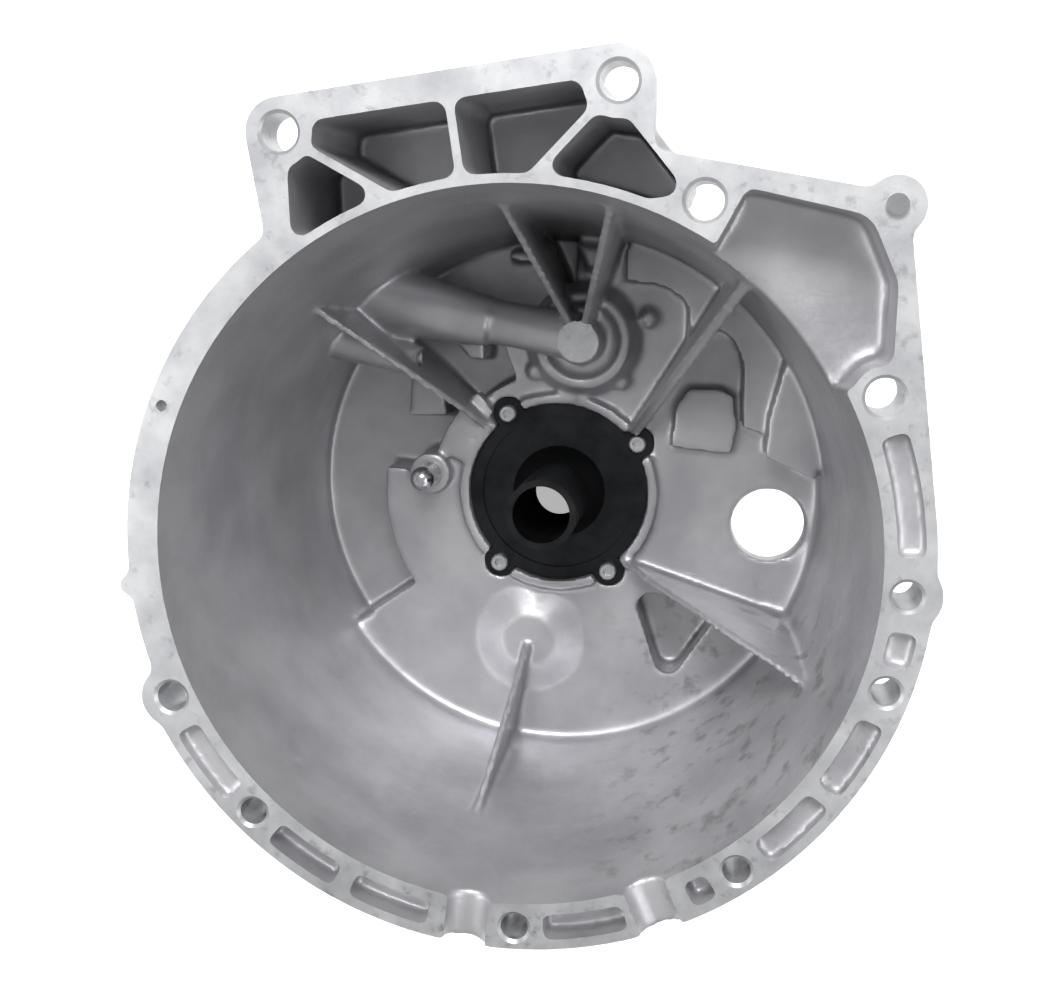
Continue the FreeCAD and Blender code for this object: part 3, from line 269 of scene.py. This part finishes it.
@dataclass(frozen=True)
class WornAndShadedFinish(Finish):
    """A milled face that has been in use: small wear marks, and painted shade that darkens it towards its lower edge.
    """

    # colour of the small wear marks and of the painted shade; the painted shade darkens the face between the two Y
    # heights in metres, up to the given share
    mark_and_shade_tone: str = "#4e4d50"
    shade_under: Range = (-0.11, -0.19)
    shade_most: float = 0.5
    mark_mm: float = 6.0
    mark_range: Range = (0.58, 0.7)
    mark_most: float = 0.3

    def pattern(self, tree: bpy.types.NodeTree, place: bpy.types.NodeSocket) -> tuple[Any, Any, Any]:
        """Colour, roughness and height with wear marks, and painted shade towards the lower edge, over the milling.

        Args:
            tree: the material's tree.
            place: coordinates in metres.

        Returns:
            The three sockets.
        """
        colour, gloss, grain = super().pattern(tree, place)
        marks = self.noise(tree, place, self.mark_mm, MARK_LAYERS)
        spots = band(tree, marks, self.mark_range, (0.0, self.mark_most))
        sides = add(tree, "ShaderNodeSeparateXYZ", {"Vector": place}).outputs
        # painted shade: the face gets darker towards its lower edge (-Y), broken up by the mark noise; the spots added
        # to it are real wear marks
        under = band(tree, sides["Y"], self.shade_under, (0.0, self.shade_most))
        amount = calculate(tree, "ADD", calculate(tree, "MULTIPLY", under, marks), spots)
        return blend(tree, amount, colour, linear(self.mark_and_shade_tone)), gloss, grain


CAST = CastFinish("die cast aluminium", "#b4b3b6", "#9d9da1", 0.62, (0.34, 0.48), 45.0, 1.6, 0.06)
MILLED = WornAndShadedFinish("milled aluminium", "#c6c7c9", "#a8a9ac", 0.7, (0.3, 0.42), 25.0, 2.0, 0.02, (1.0, 6.0, 1.0))
PHOSPHATED = Finish("phosphated steel", "#2b2c2e", "#1d1e20", 0.85, (0.28, 0.45), 18.0, 0.8, 0.01)
ZINC = Finish("zinc plated steel", "#c3c4c7", "#a7a8ab", 0.9, (0.28, 0.4), 8.0, 0.6, 0.01)
GROUND = Finish("ground bearing steel", "#c2c3c5", "#b0b1b4", 0.95, (0.15, 0.25), 10.0, 0.5, 0.005)
RUBBER = Finish("moulded nitrile rubber", "#1b1b1c", "#141415", 0.0, (0.45, 0.6), 12.0, 0.8, 0.02)
BRONZE = Finish("turned bearing bronze", "#b08a52", "#94713f", 0.95, (0.25, 0.35), 10.0, 0.5, 0.01)
SOFT = Finish("stamped soft aluminium", "#c9cacc", "#b4b5b8", 0.9, (0.3, 0.4), 10.0, 0.6, 0.01)
PLASTIC = Finish("moulded black nylon", "#1c1c1d", "#161617", 0.0, (0.4, 0.55), 12.0, 0.7, 0.02)

FINISHES = (CAST, MILLED, PHOSPHATED, ZINC, GROUND, RUBBER, BRONZE, SOFT, PLASTIC)
WEARS: dict[str, Finish] = {
    "guide_sleeve": PHOSPHATED, "guide_sleeve_screws": ZINC, "input_shaft_seal": RUBBER,
    "guide_sleeve_o_ring": RUBBER, "layshaft_bearing_race": GROUND, "selector_rail_bush": BRONZE,
    "engine_dowel_pin": GROUND, "fork_ball_stud": GROUND, "slave_cylinder_studs": ZINC, "fill_plug": ZINC,
    "fill_plug_washer": SOFT, "drain_plug": ZINC, "drain_plug_washer": SOFT, "breather": PLASTIC}


# ---------------------------------------------------------------- mesh helpers


def mesh_object(name: str, mesh: bpy.types.Mesh) -> bpy.types.Object:
    """Link a mesh as a new object at the origin.

    Args:
        name: the object's name.
        mesh: its mesh.

    Returns:
        The new object.
    """
    piece = bpy.data.objects.new(name, mesh)
    bpy.context.scene.collection.objects.link(piece)
    return piece


def drop(piece: bpy.types.Object) -> None:
    """Delete a helper object and its mesh.

    Args:
        piece: the helper.
    """
    mesh = piece.data
    bpy.data.objects.remove(piece)
    bpy.data.meshes.remove(mesh)


def settle(piece: bpy.types.Object) -> None:
    """Make an object's modifiers part of its mesh.

    Args:
        piece: the object.
    """
    bpy.context.view_layer.update()
    graph = bpy.context.evaluated_depsgraph_get()
    mesh = bpy.data.meshes.new_from_object(piece.evaluated_get(graph), depsgraph=graph)
    old = piece.data
    piece.modifiers.clear()
    piece.data = mesh
    mesh.name = piece.name
    if old.users == 0:
        bpy.data.meshes.remove(old)


def turned(shape: bmesh.types.BMesh, profile: Sequence[Point], at: Sequence[float], sides: int = 48) -> None:
    """Add a closed turned form about an upright axis.

    Args:
        shape: the mesh that gets it.
        profile: radius and height pairs in millimetres, from the lower axis point to the upper one.
        at: the axis's place in millimetres.
        sides: number of facets round.
    """
    rings = []
    for radius, high in profile:
        if radius == 0:
            rings.append([shape.verts.new(Vector((at[0], at[1], high + at[2])) * MM)])
            continue
        turn = [2 * math.pi * i / sides for i in range(sides)]
        rings.append([shape.verts.new(Vector((at[0] + radius * math.cos(t), at[1] + radius * math.sin(t),
                                              high + at[2])) * MM) for t in turn])
    for low, up in zip(rings, rings[1:]):
        for i in range(sides):
            j = (i + 1) % sides
            corners = [low[i % len(low)], low[j % len(low)], up[j % len(up)], up[i % len(up)]]
            shape.faces.new(list(dict.fromkeys(corners)))


def prism(shape: bmesh.types.BMesh, outline: Sequence[Point], low: float, high: float) -> None:
    """Add an upright block with a closed outline.

    Args:
        shape: the mesh that gets it.
        outline: its corners in millimetres.
        low: height of its foot in millimetres.
        high: height of its top in millimetres.
    """
    base = shape.faces.new([shape.verts.new(Vector((x, y, low)) * MM) for x, y in outline])
    raised = bmesh.ops.extrude_face_region(shape, geom=[base])["geom"]
    top = [item for item in raised if isinstance(item, bmesh.types.BMVert)]
    bmesh.ops.translate(shape, verts=top, vec=(0, 0, (high - low) * MM))


def sector(inner: float, outer: float, turn: float, sweep: float, steps: int = 12) -> list[Point]:
    """Outline of part of a ring about the shaft axis.

    Args:
        inner: inner radius in millimetres.
        outer: outer radius in millimetres.
        turn: direction of its first end in degrees.
        sweep: how far it goes round in degrees.
        steps: number of straight pieces along it.

    Returns:
        The outline's corners.
    """
    turns = [math.radians(turn + sweep * i / steps) for i in range(steps + 1)]
    near = [(inner * math.cos(t), inner * math.sin(t)) for t in turns]
    far = [(outer * math.cos(t), outer * math.sin(t)) for t in turns]
    return far + near[::-1]


def bar(shape: bmesh.types.BMesh, start: Sequence[float], end: Sequence[float], radii: Point, sides: int = 32) -> None:
    """Add a round bar between two points.

    Args:
        shape: the mesh that gets it.
        start: first end in millimetres.
        end: second end in millimetres.
        radii: its radius at each end in millimetres.
        sides: number of facets round.
    """
    course = Vector(end) - Vector(start)
    middle = (Vector(start) + Vector(end)) / 2 * MM
    place = Matrix.Translation(middle) @ course.to_track_quat("Z", "Y").to_matrix().to_4x4()
    bmesh.ops.create_cone(shape, cap_ends=True, segments=sides, radius1=radii[0] * MM, radius2=radii[1] * MM,
                          depth=course.length * MM, matrix=place)


def inside(value: float, limits: Range) -> bool:
    """Tell whether a value lies between two limits.

    Args:
        value: the value.
        limits: the lower and the upper limit.

    Returns:
        Whether it lies between them.
    """
    return limits[0] < value < limits[1]


# ---------------------------------------------------------------- forms of the casting


@dataclass(frozen=True)
class Block:
    """An upright cast form: its outline and the heights of its foot and top, in millimetres."""

    outline: Sequence[Point]
    foot: float
    top: float


@dataclass(frozen=True)
class RibEnd:
    """Where a rib's crest meets the bell's wall: its place in the solid and on the casting, in millimetres."""

    old: Place
    new: Place


@dataclass(frozen=True)
class Bolt:
    """A through hole for a bolt of the engine face: its axis and radius, in millimetres."""

    x: float
    y: float
    radius: float


UNDER_CHANNEL, UNDER_FLOOR = -21.0, 8.0
RIM_RECESSES: Sequence[Point] = ((-62.6, 3.8), (-85.5, 12.6), (-115.8, 12.4), (-130.2, 11.6))
BLOCKS: dict[str, Block] = {
    **{f"rim recess floor {turn}": Block(sector(174, 190, turn - 1, sweep + 2), 182.5, 186.5)
       for turn, sweep in RIM_RECESSES},
    "closed end of the channel": Block(sector(99, 149, 19, 66), UNDER_CHANNEL, 10),
    "raised land": Block(((41, 122), (41, 138), (46, 150), (100, 118), (135, 78), (135, 30), (107, 40), (106, 58),
                          (107, 70), (105, 81), (100, 90), (93, 95), (84, 92), (75, 87), (76, 106), (73, 112),
                          (65, 118), (55, 121)), UNDER_FLOOR, 24),
    "block below the pocket": Block(((66, 28), (100, 24), (103, 40), (101, 57), (94, 61), (76, 61), (69, 52)),
                                    UNDER_FLOOR, 18),
    "ledge at the wall": Block(((131, 84), (121, 47), (119, 25), (147, 12), (150, 30), (140, 66)), UNDER_FLOOR, 36),
    "shelf in the channel": Block(((-90, 44), (-67, 44), (-68, 69), (-88, 67)), UNDER_CHANNEL, 4),
    "upper pad": Block(((-28, 134), (-12, 134), (-12, 140), (-28, 140)), UNDER_CHANNEL, 14),
    "pad between the struts": Block(((18, 129), (25, 130), (26, 141), (12, 143)), UNDER_CHANNEL, 14),
    "pad below the cross tube": Block(((-60, 88), (-51, 78), (-42, 78), (-42, 90)), UNDER_CHANNEL, 14),
    "hump beside the collar": Block(sector(60, 75, 128, 34), 0, 15),
    "short rib": Block(sector(56, 66, 76.5, 3.5, 2), UNDER_FLOOR, 16)}
RIB_ENDS = (RibEnd((-9.6, 151.1, 135.0), (-12.6, 166.0, 141.0)), RibEnd((38.5, 148.7, 143.0), (46.3, 163.9, 174.0)),
            RibEnd((95.9, 116.5, 152.0), (109.9, 126.6, 154.0)), RibEnd((137.1, -75.5, 130.0), (143.5, -82.2, 126.0)))
BOLTS = (Bolt(-102.23, 193.91, 8.5), Bolt(51.38, 212.37, 8.5), Bolt(89.01, 160.58, 8.5), Bolt(168.13, 74.51, 8.5),
         Bolt(180.19, -14.81, 6.6), Bolt(-166.76, -72.16, 7.4), Bolt(171.98, -59.56, 6.6),
         Bolt(105.95, -147.98, 6.6), Bolt(0.0, -182.0, 6.6), Bolt(-128.24, -129.14, 6.6))

DISC_BOSS: Point = (15.5, 89.0)
BOSS_RING: Sequence[Point] = ((0, 8), (33, 8), (33, 11), (27, 23), (22, 23), (20, 18), (0, 18))
BOSS_DISC: Sequence[Point] = ((0, 10), (12.7, 10), (12.7, 39), (11, 41), (0, 41))
DISC_FACING: Sequence[Point] = ((0, 40.4), (12.2, 40.4), (12.2, 70), (0, 70))
CROSS_TUBE_OFFSET, CROSS_TUBE_Z = 3.1, 28
CROSS_TUBE_END: Place = (-35.0, 100.5, 28)
CROSS_TUBE_RADII: Point = (12.5, 12.8)
SPOTS: Sequence[Point] = ((53.0, 101.0), (37.0, 65.5), (-12.5, 71.0))
SPOT: Sequence[Point] = ((0, 8), (5.5, 8), (5.2, 13), (3, 14.5), (0, 15))
DROP_TURNS: Sequence[float] = (204.2, 225.4, -53.5)
DROP_ENDS: Sequence[Point] = ((165, 130), (169.5, 162))
DROP_RADII: Point = (1.5, 4.5)
SLAVE_CYLINDER: Place = (121.25, -18.12, 0)
SLAVE_BORE: Sequence[Point] = ((0, -20), (21, -20), (21, 14), (0, 14))
SHAFT_BORE: Sequence[Point] = ((0, -40), (40, -40), (40, 0), (34, 0), (34, 4), (52.3, 4), (52.3, 30), (0, 30))
BOLT_DEPTH, BOLT_CHAMFER_DEPTH, BOLT_CHAMFER, ABOVE_FACE = -95, -1.6, 2.6, 1
PLUG_DEPTH, PLUG_MARGIN = -25, 2
SLAB_WIDE, SLAB_HIGH = 0.6, 0.04


@dataclass
class Casting:
    """The one aluminium casting: its blank is cast with soft corners, then its faces and bores are milled.

    Lengths without a unit in their name are metres, and the limits of the large rounds are millimetres and degrees.
    """

    voxel: float = 1.6 * MM
    soften_rounds: int = 5
    large_rounds: int = 40
    smoothing: float = 0.5
    stock: float = 3 * MM
    face_mm: float = 200.0
    face_slack: float = 1e-5
    rib_end_reach: float = 5 * MM
    most_triangles: int = 180000
    foot_radius: Range = (136, 157)
    foot_z: Range = (2, 34)
    foot_gap: Range = (8, 90)
    bay_past_radius: float = 160
    bay_x: Range = (108, 172)
    bay_y: Range = (78, 165)
    bay_z: Range = (148, 192)

    def blank(self, source: bpy.types.Object) -> bpy.types.Object:
        """Copy the solid with its holes stopped up and milling stock on the engine face.

        Args:
            source: the solid from the frame.

        Returns:
            The blank's object.
        """
        shape = bmesh.new()
        shape.from_mesh(source.data)
        bmesh.ops.remove_doubles(shape, verts=shape.verts, dist=1e-6)
        for vertex in shape.verts:
            if vertex.co.z > self.face_mm * MM - self.face_slack:
                vertex.co.z += self.stock
        for bolt in BOLTS:
            wide = bolt.radius + PLUG_MARGIN
            turned(shape, ((0, PLUG_DEPTH), (wide, PLUG_DEPTH), (wide, ABOVE_FACE), (0, ABOVE_FACE)),
                   (bolt.x, bolt.y, self.face_mm), 32)
        self.forms(shape)
        mesh = bpy.data.meshes.new("housing_blank")
        shape.to_mesh(mesh)
        shape.free()
        return mesh_object("housing", mesh)

    def forms(self, shape: bmesh.types.BMesh) -> None:
        """Add the smaller cast forms of the bell's floor and wall.

        Args:
            shape: the blank's mesh.
        """
        for end in RIB_ENDS:
            near = [v for v in shape.verts if (v.co - Vector(end.old) * MM).length < self.rib_end_reach]
            for vertex in near:
                vertex.co += (Vector(end.new) - Vector(end.old)) * MM
            LOG.info("rib end at %s: %d points", end.old, len(near))
        for block in BLOCKS.values():
            prism(shape, block.outline, block.foot, block.top)
        x, y = DISC_BOSS
        turned(shape, BOSS_RING, (x, y, 0))
        turned(shape, BOSS_DISC, (x, y, 0))
        bar(shape, (x, y + CROSS_TUBE_OFFSET, CROSS_TUBE_Z), CROSS_TUBE_END, CROSS_TUBE_RADII)
        for x, y in SPOTS:
            turned(shape, SPOT, (x, y, 0), 24)
        for turn in DROP_TURNS:
            t = math.radians(turn)
            foot, top = (Vector((r * math.cos(t), r * math.sin(t), z)) for r, z in DROP_ENDS)
            bar(shape, foot, top, DROP_RADII, 20)

    def ease(self, piece: bpy.types.Object) -> None:
        """Give the foot of the bell's wall and the open bay their large rounds.

        Args:
            piece: the softened skin.
        """
        group = piece.vertex_groups.new(name="large_rounds")
        for vertex in piece.data.vertices:
            x, y, z = vertex.co / MM
            radius = math.hypot(x, y)
            foot = inside(radius, self.foot_radius) and inside(z, self.foot_z) and not inside(
                math.degrees(math.atan2(y, x)), self.foot_gap)
            bay = (radius > self.bay_past_radius and inside(z, self.bay_z) and inside(x, self.bay_x)
                   and inside(y, self.bay_y))
            if foot or bay:
                group.add([vertex.index], 1.0, "REPLACE")
        smooth = piece.modifiers.new("large_rounds", "SMOOTH")
        smooth.factor = self.smoothing
        smooth.iterations = self.large_rounds
        smooth.vertex_group = group.name

    def soften(self, piece: bpy.types.Object) -> None:
        """Round every corner as a casting's are.

        Args:
            piece: the blank.
        """
        skin = piece.modifiers.new("skin", "REMESH")
        skin.mode = "VOXEL"
        skin.voxel_size = self.voxel
        smooth = piece.modifiers.new("soften", "SMOOTH")
        smooth.factor = self.smoothing
        smooth.iterations = self.soften_rounds
        settle(piece)
        self.ease(piece)
        settle(piece)
        triangles = 2 * len(piece.data.polygons)
        thin = piece.modifiers.new("thin", "DECIMATE")
        thin.ratio = min(1.0, self.most_triangles / triangles)
        settle(piece)
        LOG.info("casting skin: %d faces from %d triangles", len(piece.data.polygons), triangles)

    def cut(self, piece: bpy.types.Object, tool: bmesh.types.BMesh, milled: bpy.types.Material) -> None:
        """Cut a tool's shape out, leaving the milled finish.

        Args:
            piece: the casting.
            tool: closed shapes that do not touch each other.
            milled: finish of the cut faces.
        """
        bmesh.ops.recalc_face_normals(tool, faces=tool.faces)
        mesh = bpy.data.meshes.new("cutter")
        tool.to_mesh(mesh)
        tool.free()
        mesh.materials.append(milled)
        cutter = mesh_object("cutter", mesh)
        change = piece.modifiers.new("cut", "BOOLEAN")
        change.operation = "DIFFERENCE"
        change.solver = "MANIFOLD"
        change.object = cutter
        change.material_mode = "TRANSFER"
        before = len(piece.data.polygons)
        settle(piece)
        LOG.info("cut: %d -> %d faces", before, len(piece.data.polygons))
        drop(cutter)

    def make(self, source: bpy.types.Object, stages: dict[Stage, bpy.types.Material]) -> bpy.types.Object:
        """Cast and mill the housing.

        Args:
            source: the solid from the frame.
            stages: the finish that each stage leaves.

        Returns:
            The finished piece.
        """
        piece = self.blank(source)
        self.soften(piece)
        piece.data.materials.clear()
        piece.data.materials.append(stages[Stage.CAST])
        slab = bmesh.new()
        bmesh.ops.create_cube(slab, size=1.0, matrix=Matrix.Translation((0, 0, self.face_mm * MM + SLAB_HIGH / 2))
                              @ Matrix.Diagonal((SLAB_WIDE, SLAB_WIDE, SLAB_HIGH, 1.0)))
        self.cut(piece, slab, stages[Stage.MILLED])
        holes = bmesh.new()
        for bolt in BOLTS:
            turned(holes, ((0, BOLT_DEPTH), (bolt.radius, BOLT_DEPTH), (bolt.radius, BOLT_CHAMFER_DEPTH),
                           (bolt.radius + BOLT_CHAMFER, ABOVE_FACE), (0, ABOVE_FACE)),
                   (bolt.x, bolt.y, self.face_mm), 64)
        turned(holes, SLAVE_BORE, SLAVE_CYLINDER, 96)
        turned(holes, SHAFT_BORE, (0, 0, 0), 160)
        turned(holes, DISC_FACING, (*DISC_BOSS, 0), 64)
        self.cut(piece, holes, stages[Stage.MILLED])
        piece.data.shade_smooth()
        piece.data.set_sharp_from_angle(angle=SHARP_ANGLE)
        return piece


# ---------------------------------------------------------------- room


@dataclass
class Studio:
    """Pale floor, soft light and the camera, in metres and watts."""

    floor_z: float = -0.1535
    floor_size: float = 6.0
    floor_tone: str = "#f2f2f2"
    floor_roughness: float = 0.9
    floor_glow: float = 0.45
    surround: Range = (0.58, 1.0)
    eye: Place = (0.1064, 0.1402, 0.8662)
    lens: float = 50.7
    sensor: float = 36.0
    clip_start: float = 0.01
    turn: Sequence[Place] = ((0.9899, -0.0116, -0.1414), (-0.0116, 0.9867, -0.162), (0.1414, 0.162, 0.9766))
    lamps: Sequence[tuple[str, Place, float, float]] = (
        ("top_softbox", (0.1, 1.3, 1.5), 1.0, 48.0),
        ("left_softbox", (-1.5, 0.1, 1.3), 1.2, 16.0),
        ("right_softbox", (1.5, -0.4, 1.4), 1.2, 12.0),
    )

    def floor(self) -> None:
        """A wide pale floor under the rear joint face."""
        shape = bmesh.new()
        bmesh.ops.create_grid(shape, x_segments=1, y_segments=1, size=self.floor_size)
        mesh = bpy.data.meshes.new("floor")
        shape.to_mesh(mesh)
        shape.free()
        floor = mesh_object("floor", mesh)
        floor.location.z = self.floor_z
        material = bpy.data.materials.new("pale floor")
        material.use_nodes = True
        tree = material.node_tree
        shader = tree.nodes["Principled BSDF"]
        shader.inputs["Base Color"].default_value = linear(self.floor_tone)
        shader.inputs["Roughness"].default_value = self.floor_roughness
        path = add(tree, "ShaderNodeLightPath")
        lit = calculate(tree, "MULTIPLY", path.outputs["Is Camera Ray"], self.floor_glow)
        shader.inputs["Emission Color"].default_value = (1, 1, 1, 1)
        tree.links.new(lit, shader.inputs["Emission Strength"])
        mesh.materials.append(material)

    def light(self) -> None:
        """Soft lamps and an even surrounding light."""
        for name, place, size, power in self.lamps:
            lamp = bpy.data.lights.new(name, "AREA")
            lamp.size = size
            lamp.energy = power
            holder = bpy.data.objects.new(name, lamp)
            holder.location = place
            holder.rotation_euler = (Vector(place) * -1).to_track_quat("-Z", "Y").to_euler()
            bpy.context.scene.collection.objects.link(holder)
        world = bpy.data.worlds.new("studio")
        world.use_nodes = True
        tree = world.node_tree
        path = add(tree, "ShaderNodeLightPath")
        strength = band(tree, path.outputs["Is Camera Ray"], (0.0, 1.0), self.surround)
        back = tree.nodes["Background"]
        back.inputs["Color"].default_value = (1, 1, 1, 1)
        tree.links.new(strength, back.inputs["Strength"])
        bpy.context.scene.world = world

    def camera(self) -> None:
        """The camera over the bell's mouth."""
        data = bpy.data.cameras.new("camera")
        data.sensor_width = self.sensor
        data.lens = self.lens
        data.clip_start = self.clip_start
        camera = bpy.data.objects.new("camera", data)
        rows = Matrix(self.turn).transposed().to_4x4()
        camera.matrix_world = Matrix.Translation(self.eye) @ rows
        bpy.context.scene.collection.objects.link(camera)
        bpy.context.scene.camera = camera

    def build(self) -> None:
        """Set up the whole room."""
        self.floor()
        self.light()
        self.camera()
        bpy.context.scene.view_settings.view_transform = "Standard"


# ---------------------------------------------------------------- the whole


def dress(nodes: dict[str, bpy.types.Object], name: str, finish: bpy.types.Material) -> None:
    """Give a solid from the frame its finish.

    Args:
        nodes: the frame's solids by name.
        name: the solid's name.
        finish: its material.
    """
    slots = nodes[name].material_slots
    if not slots:
        nodes[name].data.materials.append(finish)
    for slot in nodes[name].material_slots:
        slot.material = finish
    LOG.info("dressed %s", name)


def main() -> None:
    """Build and dress every piece."""
    logging.basicConfig(level=logging.INFO, format="%(message)s")
    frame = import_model()
    nodes = frame["nodes"]
    finishes = {finish.name: finish.build() for finish in FINISHES}
    stages = {Stage.CAST: finishes[CAST.name], Stage.MILLED: finishes[MILLED.name]}
    housing = Casting().make(nodes["housing_casting"], stages)
    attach(housing, "root")
    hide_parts("housing_casting")
    for name, finish in WEARS.items():
        dress(nodes, name, finishes[finish.name])
    Studio().build()


if __name__ == "__main__":
    main()
